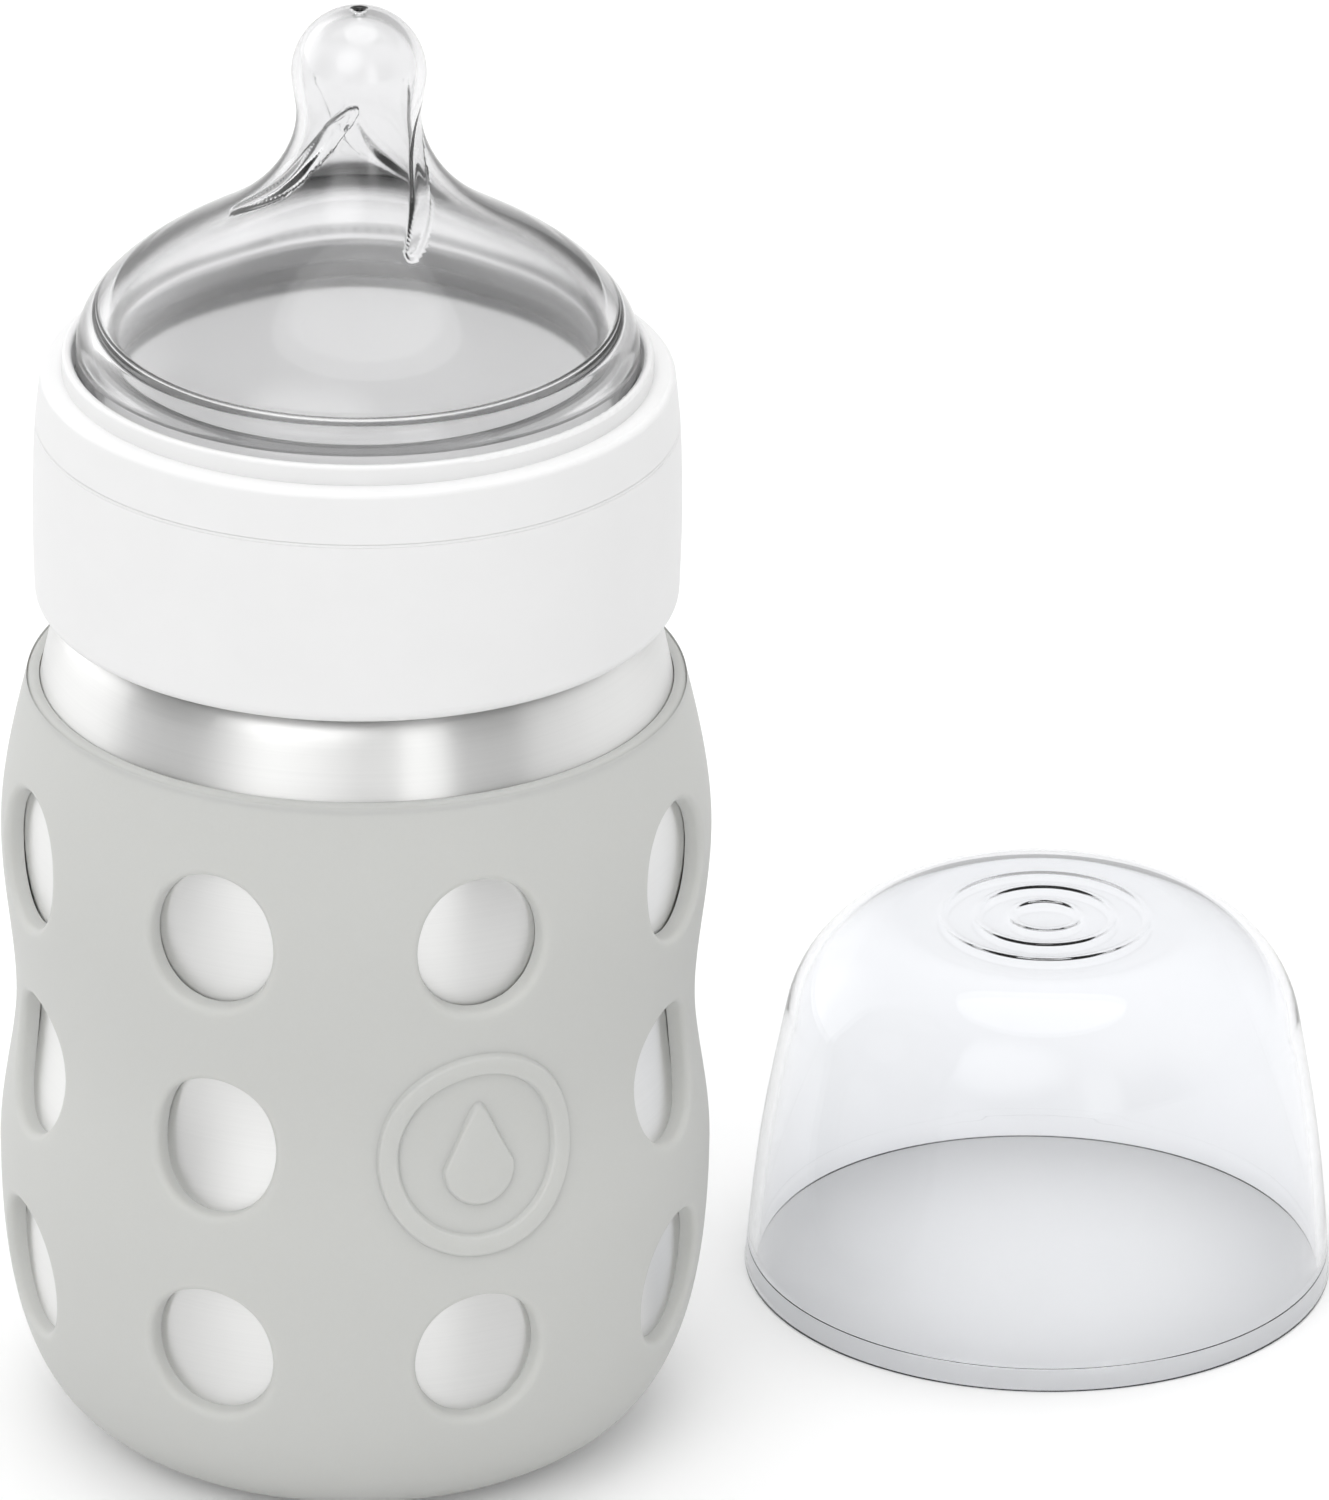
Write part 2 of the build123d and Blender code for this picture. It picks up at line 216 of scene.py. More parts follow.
def turned(name, outline, segments, centre=(0, 0), joined=False):
    """A turned piece: a circle, extruded ring by ring along the outline of radius and height.
    An outline that starts or ends on the axis is closed there, and a joined one meets its start."""
    rings = [point for point in without_repeats(outline) if point[0] > 0]
    radius, height = rings[0]
    bpy.ops.object.select_all(action="DESELECT")
    bpy.ops.mesh.primitive_circle_add(vertices=segments, radius=radius, location=(*centre, height))
    piece = begin(name)
    for ring, following in zip(rings, rings[1:]):
        extrude_ring(ring, following, centre)
    if joined:
        bpy.ops.mesh.select_all(action="SELECT")
        bpy.ops.mesh.remove_doubles(threshold=0.01 * MM)
    for end, ring in ((outline[-1], rings[-1]), (outline[0], rings[0])):
        if end[0] == 0:
            pick(piece, lambda co: on_ring(co, ring, centre))
            bpy.ops.mesh.extrude_edges_move(TRANSFORM_OT_translate={"value": (0, 0, end[1] - ring[1])})
            bpy.ops.mesh.merge(type="CENTER")
    close_outwards()
    return piece


def laid(piece, place):
    """Move every point of a piece that was modelled flat to its place on a curved surface."""
    for vertex in piece.data.vertices:
        vertex.co = place(*vertex.co)
    piece.data.update()


def finished(piece, name, settings):
    """Add a modifier with its settings to a piece and apply it."""
    modifier = piece.modifiers.new(name.title(), name)
    for setting, value in settings.items():
        setattr(modifier, setting, value)
    select_only(piece)
    bpy.ops.object.modifier_apply(modifier=modifier.name)


def handed_over(piece, body, finish, crease, replaced=()):
    """Shade a finished piece, give it its finish, and set it on its body. Edges sharper than the crease,
    in degrees, stay sharp."""
    select_only(piece)
    bpy.ops.object.shade_smooth_by_angle(angle=math.radians(crease))
    piece.data.materials.clear()
    piece.data.materials.append(bpy.data.materials[finish])
    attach(piece, body)
    if replaced:
        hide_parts(*replaced)


# ---- finishes ----


class Value:
    """A number that varies over a surface. Sums and products of it add Math nodes."""

    def __init__(self, shader, socket):
        self.shader = shader
        self.socket = socket

    def math(self, operation, *terms):
        added = self.shader.node("ShaderNodeMath", {"operation": operation}, dict(enumerate(terms)))
        return Value(self.shader, added.outputs[0])

    def __add__(self, other):
        return self.math("ADD", self, other)

    def __sub__(self, other):
        return self.math("SUBTRACT", self, other)

    def __rsub__(self, other):
        return self.math("SUBTRACT", other, self)

    def __mul__(self, other):
        return self.math("MULTIPLY", self, other)

    def __truediv__(self, other):
        return self.math("DIVIDE", self, other)

    __radd__ = __add__
    __rmul__ = __mul__


class Shader:
    """The node tree of a material or of the world."""

    def __init__(self, owner):
        owner.use_nodes = True
        self.tree = owner.node_tree
        self.tree.nodes.clear()

    def node(self, kind, settings=None, sockets=None):
        """Add a node: its settings first, then the values or links of its sockets."""
        added = self.tree.nodes.new(kind)
        for setting, value in (settings or {}).items():
            if setting == "stops":
                for element in range(len(value) - 2):
                    added.color_ramp.elements.new(0.5)
                for element, (position, shade) in zip(added.color_ramp.elements, value):
                    element.position = position
                    element.color = (shade, shade, shade, 1)
            else:
                setattr(added, setting, value)
        for key, value in (sockets or {}).items():
            source = value.socket if isinstance(value, Value) else value
            if isinstance(source, bpy.types.NodeSocket):
                self.tree.links.new(source, added.inputs[key])
            else:
                added.inputs[key].default_value = source
        return added

    def place(self):
        """Where a point is on its piece, as a vector."""
        return self.node("ShaderNodeTexCoord").outputs["Object"]

    def stretched(self, vector, scale):
        """A vector, scaled along each axis."""
        return self.node("ShaderNodeMapping", None, {"Vector": vector, "Scale": scale}).outputs[0]

    def noise(self, vector, scale, detail=2.0):
        """Cloudy noise from 0 to 1, with scale lumps to the metre."""
        sockets = {"Vector": vector, "Scale": scale, "Detail": detail}
        return Value(self, self.node("ShaderNodeTexNoise", None, sockets).outputs[0])

    def eased(self, value, low, high):
        """0 up to low and 1 from high on, with a smooth rise between."""
        sockets = {0: value, 1: low, 2: high}
        ranged = self.node("ShaderNodeMapRange", {"interpolation_type": "SMOOTHSTEP"}, sockets)
        return Value(self, ranged.outputs[0])

    def tint(self, share, first, second):
        """A colour between two others, each three numbers or another node's output."""
        first, second = [
            end if isinstance(end, bpy.types.NodeSocket) else (*end, 1) for end in (first, second)
        ]
        return self.node("ShaderNodeMix", {"data_type": "RGBA"}, {0: share, 6: first, 7: second}).outputs[2]

    def bump(self, height, depth):
        """The normal of a surface whose height varies by depth, in metres."""
        sockets = {"Height": height, "Distance": depth, "Strength": 1.0}
        return self.node("ShaderNodeBump", None, sockets).outputs[0]

    def finish(self, sockets):
        """End a material in one shader."""
        surface = self.node("ShaderNodeBsdfPrincipled", None, sockets)
        self.node("ShaderNodeOutputMaterial", None, {"Surface": surface.outputs[0]})


def new_finish(name):
    """An empty material and its node tree."""
    material = bpy.data.materials.new(name)
    return material, Shader(material)


def steel_finish(tones):
    """Stainless steel, spun to a satin outside: fine lines round the axis, and a soft unevenness between
    them. Inside, where the surface faces the axis, it is less metallic, painted paler and given a faint glow:
    painted light that brightens the vessel's dim inside."""
    material, shader = new_finish("steel_finish")
    place = shader.place()
    faces = shader.node("ShaderNodeTexCoord").outputs["Normal"]
    outwards = shader.node("ShaderNodeVectorMath", {"operation": "MULTIPLY"}, {0: faces, 1: place}).outputs[0]
    parts = shader.node("ShaderNodeSeparateXYZ", None, {0: outwards}).outputs
    # where the surface faces the axis: the mask of the painted light inside the vessel
    inside = 1 - shader.eased(Value(shader, parts[0]) + Value(shader, parts[1]), 2 * MM, 6 * MM)
    lines = shader.noise(shader.stretched(place, (14, 14, 5200)), 1.0, 3.0)
    clouds = shader.noise(place, 55, 3.0)
    spun = shader.tint(lines * 0.5 + clouds * 0.5, tones.steel_dark, tones.steel_light)
    shader.finish({
        # painted light: the inside is painted paler than the spun steel
        "Base Color": shader.tint(inside, spun, tones.steel_inside_painted_pale),
        "Metallic": 1 - inside * 0.75,
        "Roughness": lines * 0.06 + clouds * 0.05 + 0.29,
        "Anisotropic": 0.95,
        "Anisotropic Rotation": 0.25,
        # painted light: the inside glows faintly, though it is no lamp
        "Emission Color": shader.tint(inside, (0, 0, 0), (1, 1, 1)),
        "Emission Strength": 0.13,
        "Normal": shader.bump(lines, 0.004 * MM),
    })
    return material


def sleeve_finish(tones):
    """Soft moulded silicone: matt, with a very fine grain, slightly paler where the grain stands up."""
    material, shader = new_finish("sleeve_finish")
    place = shader.place()
    grain = shader.noise(place, 2600)
    clouds = shader.noise(place, 28, 3.0)
    shader.finish({
        "Base Color": shader.tint(grain * 0.35 + clouds * 0.65, tones.sleeve_dark, tones.sleeve_light),
        "Roughness": clouds * 0.1 + grain * 0.1 + 0.48,
        "Subsurface Weight": 0.25,
        "Subsurface Radius": (1.0, 0.95, 0.85),
        "Subsurface Scale": 2.2 * MM,
        "Sheen Weight": 0.06,
        "Normal": shader.bump(grain, 0.012 * MM),
    })
    return material


def ring_finish(tones):
    """Moulded white plastic with a satin skin, the faint waves of the mould, and a fine groove round it."""
    material, shader = new_finish("ring_finish")
    place = shader.place()
    waves = shader.noise(place, 130)
    grain = shader.noise(place, 3200)
    height = Value(shader, shader.node("ShaderNodeSeparateXYZ", None, {0: place}).outputs[2])
    gap = height.math("ABSOLUTE", height - (RING_HIGH.z - tones.ring_groove))
    groove = shader.eased(gap, 0.08 * MM, 0.24 * MM)
    shader.finish({
        "Base Color": shader.tint(waves, tones.ring_dark, tones.ring_light),
        "Roughness": waves * 0.08 + grain * 0.06 + 0.3,
        "Subsurface Weight": 0.1,
        "Subsurface Radius": (1.0, 1.0, 0.95),
        "Subsurface Scale": 1.0 * MM,
        "Normal": shader.bump(waves * 0.085 + grain * 0.015 + groove, 0.1 * MM),
    })
    return material


def nipple_finish(tones):
    """Clear liquid silicone: glossy, with the slightest haze and flow in its walls."""
    material, shader = new_finish("nipple_finish")
    flow = shader.noise(shader.place(), 90)
    shader.finish({
        "Base Color": shader.tint(flow, tones.silicone_dark, tones.silicone_light),
        "Roughness": flow * 0.04 + 0.05,
        "IOR": 1.44,
        "Transmission Weight": 1.0,
        "Normal": shader.bump(flow, 0.01 * MM),
    })
    return material


def cap_finish(tones):
    """Clear moulded plastic with a cool cast, and a little unevenness from the mould."""
    material, shader = new_finish("cap_finish")
    flow = shader.noise(shader.place(), 60)
    shader.finish({
        "Base Color": shader.tint(flow, tones.plastic_dark, tones.plastic_light),
        "Roughness": flow * 0.02 + 0.01,
        "IOR": 1.3,
        "Transmission Weight": 1.0,
        "Normal": shader.bump(flow, 0.012 * MM),
    })
    return material


# ---- sizes and colours that a user would change ----


class SleeveSizes(bpy.types.PropertyGroup):
    """Sizes of the silicone sleeve and its emblem."""

    wall: length("Wall", "Thickness of the sleeve", 1.95 * MM)
    rim_wall: length("Rim Wall", "Thickness at the upper rim", 1.3 * MM)
    foot_flat_radius: length("Foot Flat Radius", "Where the underside starts to curve up", 19.5 * MM)
    foot_handle: length("Foot Handle", "How far the underside runs on flat", 11.4 * MM)
    belly_height: length("Belly Height", "Height of the lower, widest part", 31 * MM)
    belly_handle: length("Belly Handle", "How long the wall stays upright below the belly", 23 * MM)
    waist_inset: length("Waist Inset", "From the belly's width in to the waist", 1.7 * MM)
    waist_height: length("Waist Height", "Height of the waist", 46 * MM)
    chest_inset: length("Chest Inset", "From the belly's width in to the chest", 0.25 * MM)
    chest_height: length("Chest Height", "Height of the upper wide part", 66.5 * MM)
    shoulder_inset: length("Shoulder Inset", "From the belly's width in to the shoulder", 4.0 * MM)
    shoulder_height: length("Shoulder Height", "Height at which the steel turns in", 87.3 * MM)
    shoulder_lean: number("Shoulder Lean", "Inward slope of the wall below the shoulder", 0.22)
    dish_radius: length("Dish Radius", "Radius of the shallow dish under the foot", 14 * MM)
    dish_rise: length("Dish Rise", "Depth of the dish", 0.4 * MM)
    windows: count("Window Columns", "Columns of windows round the sleeve", 8)
    window_rows: count("Window Rows", "Rows of windows", 3)
    window_width: length("Window Width", "Width of a window", 14.1 * MM)
    window_height: length("Window Height", "Height of a window", 14.7 * MM)
    window_pitch: length("Window Pitch", "From one row of windows to the next", 23 * MM)
    first_window: length("First Window", "Height of the middle of the lowest windows", 21.5 * MM)
    lip_round: length("Lip Round", "Softness of the edges of the windows and rim", 0.75 * MM)
    emblem_radius: length("Emblem Radius", "Outer radius of the emblem's ring", 10.9 * MM)
    emblem_band: length("Emblem Band", "Width of the emblem's ring", 2.1 * MM)
    emblem_relief: length("Emblem Relief", "How far the emblem stands out", 0.62 * MM)
    drop_radius: length("Drop Radius", "Radius of the drop's round end", 3.9 * MM)
    drop_lowering: length("Drop Lowering", "From the emblem's middle down to the round end's", 1.6 * MM)


class NippleSizes(bpy.types.PropertyGroup):
    """Sizes of the clear nipple. Its heights are above the underside of the flange."""

    wall_radius: length("Wall Radius", "Radius of the upright wall above the flange", 28.5 * MM)
    flange_thickness: length("Flange", "Thickness of the flange under the ring", 2.15 * MM)
    rim_wall: length("Rim Wall", "Thickness of the upright wall", 2.7 * MM)
    dome_wall: length("Dome Wall", "Thickness of the dome", 1.5 * MM)
    throat_wall: length("Throat Wall", "Thickness below the neck", 1.2 * MM)
    bulb_wall: length("Bulb Wall", "Thickness of the neck and bulb", 1.05 * MM)
    dome_foot_height: length("Dome Foot Height", "Height at which the wall starts to turn in", 6.2 * MM)
    shoulder_inset: length("Shoulder Inset", "From the upright wall in to the dome's shoulder", 4.2 * MM)
    shoulder_height: length("Shoulder Height", "Height of the dome's shoulder", 13.15 * MM)
    dome_radius: length("Dome Radius", "Radius of the dome's middle", 15.2 * MM)
    dome_height: length("Dome Height", "Height of the dome's middle", 19.15 * MM)
    throat_radius: length("Throat Radius", "Radius below the neck", 8.5 * MM)
    throat_height: length("Throat Height", "Height of the throat", 25.15 * MM)
    neck_radius: length("Neck Radius", "Radius of the neck", 6.3 * MM)
    neck_height: length("Neck Height", "Height of the neck", 31.6 * MM)
    bulb_radius: length("Bulb Radius", "Radius of the bulb", 6.8 * MM)
    bulb_height: length("Bulb Height", "Height of the bulb's middle", 35.8 * MM)
    hole_radius: length("Hole Radius", "Radius of the feeding hole", 0.4 * MM)
    bead_height: length("Bead Height", "Middle of the bead inside, above the flange", 7.0 * MM)
    bead_width: length("Bead Width", "Width of the bead", 4.2 * MM)
    bead_depth: length("Bead Depth", "How far the bead stands inwards", 1.5 * MM)
    rib_height: length("Rib Height", "How far the ribs stand into the nipple", 0.6 * MM)
    rib_width: length("Rib Width", "Width of a rib at its middle", 2.5 * MM)
    ribs: count("Ribs", "Spiral ribs that keep the nipple open", 3)
    rib_start: angle("Rib Start", "Where the first rib begins, from +X", 6)


class CapSizes(bpy.types.PropertyGroup):
    """Sizes of the clear cap."""

    wall: length("Wall", "Thickness of the cap", 1.2 * MM)
    seat_inset: length("Seat Inset", "From the rim's outside in to the seat", 0.95 * MM)
    seat_depth: length("Seat Depth", "Depth of the seat inside the rim", 2.3 * MM)
    bulge: length("Bulge", "How far the wall swells beyond a straight cone", 0.55 * MM)
    shoulder_inset: length("Shoulder Inset", "From the rim in to the shoulder", 3.95 * MM)
    shoulder_drop: length("Shoulder Drop", "Below the cap's top", 11.35 * MM)
    flat_inset: length("Flat Inset", "From the shoulder in to the flat top", 12.6 * MM)
    fullness: number("Fullness", "How far the shoulder's curve reaches to the corner", 0.55)
    ripples: count("Ripples", "Raised rings on the flat top", 3)
    ripple_pitch: length("Ripple Pitch", "From one raised ring to the next", 3.6 * MM)
    ripple_width: length("Ripple Width", "Width of a raised ring", 1.3 * MM)
    ripple_height: length("Ripple Height", "Height of a raised ring", 0.18 * MM)


class Tones(bpy.types.PropertyGroup):
    """Colours of the finishes, each from its darker to its paler tone, and the ring's groove."""

    steel_dark: colour("Steel Dark", "Darker tone of the steel", (0.74, 0.74, 0.735))
    steel_light: colour("Steel Light", "Paler tone of the steel", (0.84, 0.84, 0.83))
    # painted light: the paler tone that brightens the vessel's dim inside
    steel_inside_painted_pale: colour("Steel Inside", "Tone of the vessel's inside", (0.92, 0.92, 0.92))
    sleeve_dark: colour("Sleeve Dark", "Darker tone of the sleeve", (0.52, 0.525, 0.507))
    sleeve_light: colour("Sleeve Light", "Paler tone of the sleeve", (0.565, 0.57, 0.552))
    ring_dark: colour("Ring Dark", "Darker tone of the ring", (0.78, 0.78, 0.78))
    ring_light: colour("Ring Light", "Paler tone of the ring", (0.81, 0.81, 0.81))
    ring_groove: length("Ring Groove", "From the top of the ring's collar down to its groove", 7.4 * MM)
    silicone_dark: colour("Silicone Dark", "Darker tone of the nipple", (0.9, 0.9, 0.905))
    silicone_light: colour("Silicone Light", "Paler tone of the nipple", (0.925, 0.925, 0.93))
    plastic_dark: colour("Plastic Dark", "Darker tone of the cap", (0.972, 0.98, 1.0))
    plastic_light: colour("Plastic Light", "Paler tone of the cap", (0.984, 0.99, 1.0))
    floor: colour("Floor", "Colour of the floor", (0.84, 0.84, 0.84))


class StageSizes(bpy.types.PropertyGroup):
    """Where the camera stands, and how bright the studio is."""

    target: bpy.props.FloatVectorProperty(
        name="Target",
        description="The point that the camera looks at",
        default=(29.15 * MM, -11.8 * MM, 74.5 * MM),
        size=3,
        subtype="TRANSLATION",
    )
    distance: length("Distance", "From the camera to its target", 1.548)
    yaw: angle("Yaw", "How far the camera's gaze turns from +Y towards +X", 22.06)
    elevation: angle("Elevation", "How steeply the camera looks down", 24.45)
    roll: angle("Roll", "How far the camera tilts on its gaze", 0.73)
    lens: number("Lens", "Focal length in millimetres", 363.75)
    floor_size: length("Floor Size", "Width of the floor", 24.0)
    floor_lift: number("Floor Lift", "How much brighter the floor looks than it is", 0.12)
    sky: number("Sky", "Brightness of the studio", 0.8)
    backdrop: number("Backdrop", "Brightness of the backdrop where it shows", 1.0)
    lamp_size: length("Lamp Size", "Width of the lamp overhead", 1.2)
    lamp_power: number("Lamp Power", "Power of the lamp overhead, in watts", 6)


class FeedingBottle(bpy.types.PropertyGroup):
    """All the sizes, colours and stage settings that a user would change."""

    sleeve: bpy.props.PointerProperty(type=SleeveSizes)
    nipple: bpy.props.PointerProperty(type=NippleSizes)
    cap: bpy.props.PointerProperty(type=CapSizes)
    tones: bpy.props.PointerProperty(type=Tones)
    stage: bpy.props.PointerProperty(type=StageSizes)


# ---- the sleeve's shape, which the emblem follows ----


class SleeveShape:
    """The outside of the sleeve: its outline, and places on it from flat ones."""

    def __init__(self, sizes):
        self.sizes = sizes
        self.radius = SLEEVE_HIGH.x
        self.rim = SLEEVE_HIGH.z
        self.row = sizes.window_pitch / ROWS
        self.rows = (sizes.window_rows - 1) * ROWS + ROWS_OVER
        self.cell = 2 * math.pi * self.radius / (sizes.windows * CELLS)
        self.foot = sizes.first_window - ROWS_OVER / 2 * self.row
        belly = (self.radius, sizes.belly_height)
        wall = smooth_curve(
            [
                belly,
                (self.radius - sizes.waist_inset, sizes.waist_height),
                (self.radius - sizes.chest_inset, sizes.chest_height),
                (self.radius - sizes.shoulder_inset, sizes.shoulder_height),
            ],
            (0, 1),
            (-sizes.shoulder_lean, 1),
            steps=24,
        )
        foot = handle_curve(
            (sizes.foot_flat_radius, 0),
            (sizes.foot_flat_radius + sizes.foot_handle, 0),
            (self.radius, sizes.belly_height - sizes.belly_handle),
            belly,
            steps=64,
        )
        self.curve = foot + wall[1:]
        self.heights = [height for radius, height in self.curve]
        self.radii = [radius for radius, height in self.curve]

    def radius_at(self, height):
        return float(numpy.interp(height, self.heights, self.radii))

    def at(self, across, up, out):
        """The place that lies across round from the front, up at a height, and out from the surface."""
        turn = FRONT + across / self.radius
        step = 0.5 * MM
        slope = (self.radius_at(up + step) - self.radius_at(up - step)) / (2 * step)
        size = math.hypot(1, slope)
        radius = self.radius_at(up) + out / size
        return radius * math.cos(turn), radius * math.sin(turn), up - out * slope / size


class BOTTLE_OT_add_sleeve(bpy.types.Operator):
    """Model the silicone sleeve: a flat sheet with its windows, wrapped round and closed under the foot."""

    bl_idname = "feeding_bottle.add_sleeve"
    bl_label = "Add Sleeve"

    def execute(self, context):
        sizes = context.scene.feeding_bottle.sleeve
        shape = SleeveShape(sizes)
        cells = sizes.windows * CELLS
        tall = shape.row * shape.rows
        bpy.ops.object.select_all(action="DESELECT")
        bpy.ops.mesh.primitive_grid_add(x_subdivisions=cells, y_subdivisions=shape.rows, size=1)
        piece = begin("sleeve_cover")
        bpy.ops.transform.resize(value=(shape.cell * cells, tall, 1))
        # half a column off, so that the seam at the back runs between two columns of windows
        bpy.ops.transform.translate(value=(-CELLS / 2 * shape.cell, shape.foot + tall / 2, 0))
        for row in range(sizes.window_rows):
            for column in range(-sizes.windows // 2, sizes.windows // 2):
                emblem_here = row == 1 and column == 0
                if not emblem_here:
                    across = column * CELLS * shape.cell
                    self.cut_window(piece, shape, across, sizes.first_window + row * sizes.window_pitch)
        bpy.ops.object.mode_set(mode="OBJECT")
        smoothing = {"levels": 2, "render_levels": 2, "boundary_smooth": "PRESERVE_CORNERS"}
        finished(piece, "SUBSURF", smoothing)
        laid(piece, lambda x, y, z: shape.at(x, y, 0))
        self.close_foot(piece, shape)
        self.thicken(piece, shape)
        handed_over(piece, "bottle", "sleeve_finish", 50, ["sleeve"])
        return {"FINISHED"}

    def cut_window(self, piece, shape, across, up):
        """Cut a window out of the flat sheet: a block of cells, rounded to a circle and then to an oval."""

        def within(cells, slack=0):
            """A test for the points that lie within so many cells of the window's middle."""
            wide, tall = cells * shape.cell + slack, cells * shape.row + slack
            return lambda co: abs(co.x - across) < wide and abs(co.y - up) < tall

        pick(piece, within(1.5))
        bpy.ops.mesh.delete(type="VERT")
        pick(piece, within(2, 0.1 * MM))
        bpy.ops.transform.tosphere(value=1)
        chosen = [v.co for v in bmesh.from_edit_mesh(piece.data).verts if v.select]
        radius = sum(math.dist(co.xy, (across, up)) for co in chosen) / len(chosen)
        oversize = 1.02  # for what the smoothing takes off
        sides = (shape.sizes.window_width, shape.sizes.window_height)
        stretch = [side / 2 / radius * oversize for side in sides]
        bpy.ops.transform.resize(value=(*stretch, 1), center_override=(across, up, 0))

    def close_foot(self, piece, shape):
        """Merge the seam, bring the rim to its height, and close the foot with a shallow dish under it."""
        dish, rise = shape.sizes.dish_radius, shape.sizes.dish_rise
        reopen(piece)
        bpy.ops.mesh.remove_doubles(threshold=0.05 * MM)
        top = shape.foot + shape.row * shape.rows
        pick(piece, lambda co: co.z > top - 0.1 * MM)
        bpy.ops.mesh.extrude_edges_move(TRANSFORM_OT_translate={"value": (0, 0, shape.rim - top)})
        under = [point for point in reversed(shape.curve) if point[1] < shape.foot - 0.2 * MM]
        # every third point of the curve will do, and its end
        rings = [(shape.radius_at(shape.foot), shape.foot)] + under[:-1:3] + under[-1:]
        rings += [(17 * MM, 0), (dish + 0.8 * MM, 0), (dish + 0.3 * MM, 0.08 * MM)]
        rings += [(dish, rise * 0.6), (dish - 0.5 * MM, rise), (9 * MM, rise), (4 * MM, rise), (1 * MM, rise)]
        pick(piece, lambda co: co.z < shape.foot + 0.05 * MM)
        for ring, following in zip(rings, rings[1:]):
            extrude_ring(ring, following)
        bpy.ops.mesh.extrude_edges_move()
        bpy.ops.mesh.merge(type="CENTER")
        close_outwards()

    def thicken(self, piece, shape):
        """Give the sheet its wall, thinner towards the rim, and soften its outer edges."""
        sizes = shape.sizes
        wall = piece.vertex_groups.new(name="wall")
        for vertex in piece.data.vertices:
            share = min(max((vertex.co.z - sizes.chest_height) / (shape.rim - sizes.chest_height), 0), 1)
            thickness = sizes.wall + (sizes.rim_wall - sizes.wall) * share
            wall.add([vertex.index], thickness / sizes.wall, "REPLACE")
        finished(
            piece,
            "SOLIDIFY",
            {"thickness": sizes.wall, "offset": -1.0, "use_even_offset": True, "vertex_group": "wall"},
        )
        reopen(piece)
        bpy.ops.mesh.select_mode(type="EDGE")
        bpy.ops.mesh.select_all(action="DESELECT")
        bpy.ops.mesh.edges_select_sharp(sharpness=math.radians(50))
        deepest = 0.4 * MM  # how far inside the outer surface an outer edge may lie
        mesh = bmesh.from_edit_mesh(piece.data)
        for edge in mesh.edges:
            if edge.select:
                gaps = [shape.radius_at(vertex.co.z) - vertex.co.xy.length for vertex in edge.verts]
                edge.select_set(max(gaps) < deepest)
        bmesh.update_edit_mesh(piece.data)
        bpy.ops.mesh.bevel(offset=sizes.lip_round, segments=4, affect="EDGES")
        bpy.ops.mesh.select_mode(type="VERT")
        bpy.ops.object.mode_set(mode="OBJECT")


class BOTTLE_OT_add_emblem(bpy.types.Operator):
    """Model the emblem, a drop inside a ring, flat and then laid on the front of the sleeve."""

    bl_idname = "feeding_bottle.add_emblem"
    bl_label = "Add Emblem"

    def execute(self, context):
        sizes = context.scene.feeding_bottle.sleeve
        shape = SleeveShape(sizes)
        relief = sizes.emblem_relief
        middle = sizes.first_window + sizes.window_pitch
        outside, inside = sizes.emblem_radius, sizes.emblem_radius - sizes.emblem_band
        sunk = -0.4 * MM
        ring = turned("emblem_ring", self.band(outside, inside, relief, sunk), 96, joined=True)
        drop_outline = [(0, sunk)] + self.edge(sizes.drop_radius, relief, sunk)
        drop_outline += [(sizes.drop_radius * 0.5, relief * 1.2), (0, relief * 1.3)]
        drop = turned("emblem_drop", drop_outline, 64)
        laid(drop, self.pointed)
        for piece in (ring, drop):
            laid(piece, lambda x, y, z: shape.at(x, y + middle, z))
            reopen(piece)
            close_outwards()
            handed_over(piece, "bottle", "sleeve_finish", 60)
        return {"FINISHED"}

    def edge(self, radius, relief, sunk):
        """A raised edge: it flares from inside the surface and rounds over to the top."""
        foot, top = 0.28 * MM, 0.34 * MM
        return [
            (radius + foot, sunk),
            (radius + foot, -0.06 * MM),
            (radius + foot * 0.5, 0.02 * MM),
            (radius + foot * 0.12, relief * 0.28),
            (radius - top * 0.1, relief * 0.66),
            (radius - top * 0.45, relief * 0.9),
            (radius - top, relief),
        ]

    def band(self, outside, inside, relief, sunk):
        """The section of the raised ring."""
        middle = (outside + inside) / 2
        outer = self.edge(outside, relief, sunk)
        inner = [(2 * inside - radius, height) for radius, height in reversed(self.edge(inside, relief, sunk))]
        return outer + [(middle, relief * 1.06)] + inner + [outer[0]]

    def pointed(self, x, y, z):
        """Lower a round drop, and draw its upper half out into a point."""
        sizes = bpy.context.scene.feeding_bottle.sleeve
        share = min(max(y / sizes.drop_radius, 0), 1)
        return x * (1 - 0.5 * share), y * (1 + 0.75 * share) - sizes.drop_lowering, z


